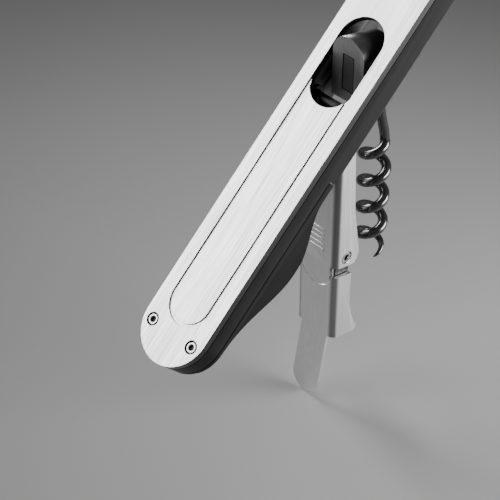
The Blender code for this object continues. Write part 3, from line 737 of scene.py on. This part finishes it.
def make_lever_upper():
    web, drop, forward = -LEVER_WEB, HINGE_IN_LEVER.z, HINGE_IN_LEVER.x
    lever = prism("lever", [channel_section(web, 10)], drop - 20, 10)
    bottom = drop - KNUCKLE_BOTTOM
    knuckle = arc(forward, drop, KNUCKLE_RADIUS, -48, 12, 20)
    ear = arc(0, 0, EAR_RADIUS, 0, 180, 24)
    step = WEB_START / (LEVER_WEB - EAR_RADIUS)
    back = [(web - 1, -WEB_START - step), (web - 1, bottom + 1.1), (1.6, bottom - 0.2)]
    front = [(FLANGE_FRONT + 1.0, -36.0), (FLANGE_FRONT, -30.0), (FLANGE_TOP, -6.0)]
    combine(lever, prism("side", [ear + back + knuckle + front], -PAST_SIDE, PAST_SIDE, "Y"), "INTERSECT")
    inside = LEVER_HALF_WIDTH - LEVER_SHEET + 0.1
    combine(lever, prism("opening", [rectangle(-inside, inside, -WEB_START, 10, 1.5)], -PAST_CUT, 0, "X"))
    half = TONGUE_HALF_WIDTH
    tongue = [(half, drop + 3), (-half, drop + 3)] + arc(0, drop - TONGUE_DROP, half, 180, 360, 36)
    combine(lever, prism("tongue", [tongue], web + 0.02, web + LEVER_SHEET - 0.02, "X"), "UNION")
    combine(lever, across(0, 0, PIN_RADIUS + GAP))
    combine(lever, across(forward, drop, PIN_RADIUS + GAP))
    for i in range(RIB_COUNT):
        top = RIB_FROM + RIB_PITCH * i
        rib = rectangle(-2.6, 2.6, top - 0.35, top + 0.35, 0.3)
        combine(lever, prism("rib", [rib], web - 0.12, web + 0.3, "X"), "UNION")
    split_at(soften(lever, SHEET_ROUND), PIVOT_END)
    finish_piece(lever, LEVER, "lever_upper", LEVER_STEEL)
    # Painted shade on the pivot end's inside and the tongue's edges.
    mark_faces(lever, INNER_SHADE, pivot_end_or_tongue_edge)


def pivot_end_or_tongue_edge(at, normal):
    """True inside the channel's pivot end, and on the tongue's straight edges: faces that take painted shade."""
    outward = at.y * normal.y > 0.5 * abs(at.y)
    if at.z > PIVOT_END:
        return not outward
    return outward and abs(abs(at.y) - TONGUE_HALF_WIDTH) < 0.1


def make_lever_lower():
    web = -LEVER_WEB - HINGE_IN_LEVER.x
    lever = prism("lower", [channel_section(web, 10)], -LOWER_LENGTH - 10, 2)
    top = [(web - 1, -5.0), (1.9, -6.1)]
    front = [(1.8, -13.0), (2.1, -17.0), (2.9, -21.0), (3.9, -24.0)]
    foot = arc(3.5, -LOWER_LENGTH - 0.2, 1.3, 20, -95, 14)
    side = top + front + foot + [(web - 1, -LOWER_LENGTH + 0.2)]
    combine(lever, prism("side", [side], -PAST_SIDE, PAST_SIDE, "Y"), "INTERSECT")
    half = TONGUE_HALF_WIDTH + GAP
    seat = [(half, 5), (-half, 5)] + arc(0, -TONGUE_DROP - 0.1, half, 180, 360, 36)
    combine(lever, prism("seat", [seat], web - 5, web + LEVER_SHEET + 0.02, "X"))
    add_lower_ears(lever)
    half = TAIL_HALF_WIDTH
    end = arc(0, half - TAIL_LENGTH, half, 180, 360, 28)
    tab = prism("tab", [[(half, 1.5), (-half, 1.5)] + end], 0, LEVER_SHEET, "X")
    tab.data.transform(Matrix.Rotation(math.radians(TAIL_BEND), 4, "Y"))
    combine(lever, moved(tab, web, 0, -LOWER_LENGTH - 0.5), "UNION")
    soften(lever, SHEET_ROUND)
    finish_piece(lever, HINGE, "lever_lower", LEVER_STEEL)
    # Painted shade on the lower ears.
    mark_faces(lever, INNER_SHADE, on_lower_ear)


def on_lower_ear(at, normal):
    """True for the ears that sit inside the upper stage, which take painted shade."""
    return abs(at.y) < LEVER_HALF_WIDTH - LEVER_SHEET - GAP + 0.1 and at.z > -8.0 and at.x > -3.0


def add_lower_ears(lever):
    ear = arc(0, 0, EAR_RADIUS, 0, 180, 24) + [(-EAR_RADIUS, -8.8), (1.7, -8.8)]
    outer = LEVER_HALF_WIDTH - LEVER_SHEET - GAP
    for side in (-1, 1):
        low, high = sorted((side * (outer - HINGE_EAR_SHEET), side * outer))
        combine(lever, prism("ear", [ear], low, high, "Y"), "UNION")
        joggle = sorted((side * (outer - HINGE_EAR_SHEET + 0.1), side * (outer + 0.8)))
        combine(lever, box((-2.4, 1.6), joggle, (-8.7, -6.3)), "UNION")
    combine(lever, across(0, 0, PIN_RADIUS + GAP))


def make_hinge_rivets():
    outer = LEVER_HALF_WIDTH - 0.05
    inner = LEVER_HALF_WIDTH - LEVER_SHEET - GAP - HINGE_EAR_SHEET + 0.05
    bore = PIN_RADIUS / 2
    rim = [(bore + 0.15, outer), (PIN_RADIUS - 0.12, outer), (PIN_RADIUS, outer - 0.12)]
    profile = rim + [(PIN_RADIUS, inner), (bore, inner), (bore, outer - 0.3)]
    for name, side in (("right", -1), ("left", 1)):
        rivet = turned(profile, "Y", closed=True)
        rivet.data.transform(Matrix.Rotation(math.pi if side > 0 else 0, 4, "Z"))
        moved(rivet, HINGE_IN_LEVER.x, 0, HINGE_IN_LEVER.z)
        piece = finish_piece(rivet, LEVER, "hinge_rivet_" + name, TURNED_STEEL)
        # Painted shade inside the rivet's bore.
        mark_faces(piece, RECESS_SHADE, lambda at, normal: bore_wall(at, normal, bore))


# True for the rivet bore's wall, which takes painted shade.
def bore_wall(at, normal, bore):
    reach = math.hypot(at.x - HINGE_IN_LEVER.x, at.z - HINGE_IN_LEVER.z)
    return reach < bore + 0.05


# ---------------------------------------------------------------- worm


def block_side():
    top = BLOCK_ARCH_Z + BLOCK_HALF_WIDTH
    corners = [(BLOCK_FRONT, BLOCK_FACE_BOTTOM, 0.3), (2.4, BLOCK_FACE_BOTTOM - 0.8, 0.5)]
    corners += [(2.7, BLOCK_BOTTOM, 0.6), (BLOCK_BACK, BLOCK_BOTTOM, 3.0), (BLOCK_BACK, 2.1, 2.8)]
    corners += [(BARREL_END, top - BARREL_FALL * (BARREL_END - BLOCK_FRONT), 2.5), (BLOCK_FRONT, top, 0)]
    return rounded(corners, 14)


def block_plan():
    half, front = BLOCK_HALF_WIDTH + 1, BLOCK_FRONT - 1
    rear = [(BLOCK_BACK, side * BLOCK_HALF_WIDTH, BLOCK_CORNER) for side in (-1, 1)]
    return rounded([(front, -half, 0), (0, -half, 0), *rear, (0, half, 0), (front, half, 0)], 16)


def round_worm(radius, angle):
    """A place on a circle round the worm's axis, from the worm's pin."""
    return WORM_OFFSET + radius * math.cos(angle), radius * math.sin(angle)


def barrel():
    """The block's round top, whose crown falls away from the face, over straight sides."""
    half = BLOCK_HALF_WIDTH
    arch = arc(0, BLOCK_ARCH_Z, half, 0, 180, 48) + [(-half, -FAR), (half, -FAR)]
    shape = prism("barrel", [arch], -PAST_CUT, PAST_CUT, "X")
    fall = Matrix.Identity(4)
    fall[2][0] = -BARREL_FALL
    fall[2][3] = BARREL_FALL * BLOCK_FRONT * MM
    shape.data.transform(fall)
    return shape


def make_block():
    half = BLOCK_HALF_WIDTH
    block = prism("block", [block_side()], -half - 1, half + 1, "Y")
    combine(block, prism("plan", [block_plan()], -PAST_CUT, PAST_CUT), "INTERSECT")
    combine(block, barrel(), "INTERSECT")
    combine(block, across(0, 0, PIN_RADIUS + 2 * GAP + BUSH_WALL))
    x, y = round_worm(SHANK_OFFSET, SHANK_ANGLE)
    bore = WIRE_RADIUS + GAP
    combine(block, moved(turned([(0, -5), (bore, -5), (bore, -20), (0, -20)]), x, y))
    combine(block, moved(turned([(0, 9), (1.2, 9), (1.2, 0), (0, 0)], "Y"), x, y, GRUB_Z))
    soften(block, BLOCK_ROUND, 4, 40)
    badge = rectangle(*BADGE_Y, *BADGE_Z, 0.3)
    combine(block, prism("pocket", [badge], -PAST_CUT, BLOCK_FRONT + 0.6, "X"))
    finish_piece(block, WORM, "worm_block", BLOCK_SHADE)
    # Painted light on the block's front face; the rest of the block keeps the painted shade.
    mark_faces(block, FACE_LIGHT, lambda at, normal: normal.x < -0.95)


def make_inlay():
    (left, right), (low, high) = BADGE_Y, BADGE_Z
    badge = rectangle(left + GAP, right - GAP, low + GAP, high - GAP, 0.3)
    inlay = prism("inlay", [badge], BLOCK_FRONT + 0.05, BLOCK_FRONT + 0.3, "X")
    finish_piece(soften(inlay, 0.05), WORM, "badge", INLAY_METAL)


def make_grub_screw():
    x, y = round_worm(SHANK_OFFSET, SHANK_ANGLE)
    near, far = WIRE_RADIUS + GAP, BLOCK_HALF_WIDTH + y - GAP
    screw = turned([(0, far), (0.8, far), (0.9, far - 0.1), (0.9, near), (0, near)], "Y")
    socket = prism("hex", [circle(0, 0, GRUB_HEX_RADIUS, 6)], -far - 1, -far + 0.6, "Y")
    combine(screw, socket)
    finish_piece(moved(screw, x, y, GRUB_Z), WORM, "grub_screw", TURNED_STEEL)


def worm_path():
    """(point, radius scale) down the shank and round the coil to its sharpened tip."""
    top, path, shank_steps, per_turn = COIL_TOP - WORM_LENGTH, [], 28, 56
    for i in range(shank_steps + 1):
        z = -5.6 + (top + 5.6) * i / shank_steps
        radius = SHANK_OFFSET + SHANK_LEAN * smooth_step(-z, 15.0, -top + 1.0)
        path.append(((*round_worm(radius, SHANK_ANGLE), z), 1.0))
    turns = COIL_TOP / COIL_PITCH
    steps = int(turns * per_turn)
    for i in range(1, steps + 1):
        t = i / steps
        angle = SHANK_ANGLE - 2 * math.pi * turns * t
        start = SHANK_OFFSET + SHANK_LEAN
        at = round_worm(start + (COIL_RADIUS - start) * min(turns * t / 0.5, 1.0), angle)
        thin = min((1 - t) * turns / 0.62, 1.0)
        path.append(((*at, top - COIL_TOP * t), 0.06 + 0.94 * math.sqrt(thin)))
    return path


def make_worm():
    curve = bpy.data.curves.new("worm", "CURVE")
    curve.dimensions = "3D"
    curve.bevel_depth = WIRE_RADIUS * MM
    curve.bevel_resolution = 7
    curve.use_fill_caps = True
    path = worm_path()
    spline = curve.splines.new("POLY")
    spline.points.add(len(path) - 1)
    for point, (at, scale) in zip(spline.points, path):
        point.co = (*(Vector(at) * MM), 1)
        point.radius = scale
    worm = linked("worm", baked(linked("worm", curve)))
    finish_piece(worm, WORM, "worm", BLACK_COATING, 60)


# ---------------------------------------------------------------- studio


def add_camera():
    data = bpy.data.cameras.new("camera")
    data.lens = LENS
    data.sensor_width = 36.0
    data.clip_start = 0.01
    data.clip_end = 20.0
    camera = linked("camera", data)
    flat = math.cos(VIEW_ELEVATION)
    back = Vector((math.sin(VIEW_AZIMUTH) * flat, -math.cos(VIEW_AZIMUTH) * flat, math.sin(VIEW_ELEVATION)))
    camera.location = VIEW_TARGET + back * VIEW_DISTANCE
    camera.rotation_mode = "QUATERNION"
    camera.rotation_quaternion = (-back).to_track_quat("-Z", "Y")
    bpy.context.scene.camera = camera


def add_floor():
    mesh = bpy.data.meshes.new("floor")
    shape = bmesh.new()
    bmesh.ops.create_grid(shape, x_segments=8, y_segments=8, size=3.0)
    shape.to_mesh(mesh)
    shape.free()
    floor = linked("floor", mesh)
    floor.location.z = cad_box[0].z - 0.0005
    made, tree, shader = new_material("pale_floor", grey(0.26), 0.0, 0.85)
    cloud = noise(tree, (6, 6, 6), 2.0)
    stops = [(0.3, grey(0.25)), (0.7, grey(0.27))]
    tree.links.new(ramp(tree, cloud, stops), shader.inputs["Base Color"])
    mesh.materials.append(made)


def area_light(name, aim, direction, distance, size, power, spread):
    """A softbox facing its aim; its narrow spread keeps its light off the floor beside it."""
    data = bpy.data.lights.new(name, "AREA")
    data.spread = math.radians(spread)
    data.shape = "RECTANGLE"
    data.size, data.size_y = size
    data.energy = power
    light = linked(name, data)
    away = Vector(direction).normalized()
    light.location = aim + away * distance
    light.rotation_mode = "QUATERNION"
    light.rotation_quaternion = away.to_track_quat("Z", "Y")
    light.visible_camera = False


def add_studio():
    add_camera()
    add_floor()
    lever, block = LEVER.translation - Vector((0, 0, 0.03)), WORM.translation
    area_light("plate_softbox", VIEW_TARGET, (-0.58, 0.57, 0.60), 0.7, (0.40, 0.50), 0.26, 45)
    area_light("front_right_softbox", lever, (0.55, -0.83, 0.08), 0.28, (0.24, 0.12), 0.68, 80)
    area_light("back_softbox", block, (0.05, 0.78, 0.62), 0.6, (0.2, 0.2), 0.20, 36)
    world = bpy.data.worlds.new("studio")
    world.use_nodes = True
    world.node_tree.nodes["Background"].inputs["Color"].default_value = (1, 1, 1, 1)
    world.node_tree.nodes["Background"].inputs["Strength"].default_value = 0.17
    bpy.context.scene.world = world


for make in (
    make_plate, make_plate_screws, make_rail, make_guard, make_guard_screws, make_cover, dress_inside,
    make_lever_upper, make_lever_lower, make_hinge_rivets,
    make_block, make_inlay, make_grub_screw, make_worm,
    add_studio,
):
    make()
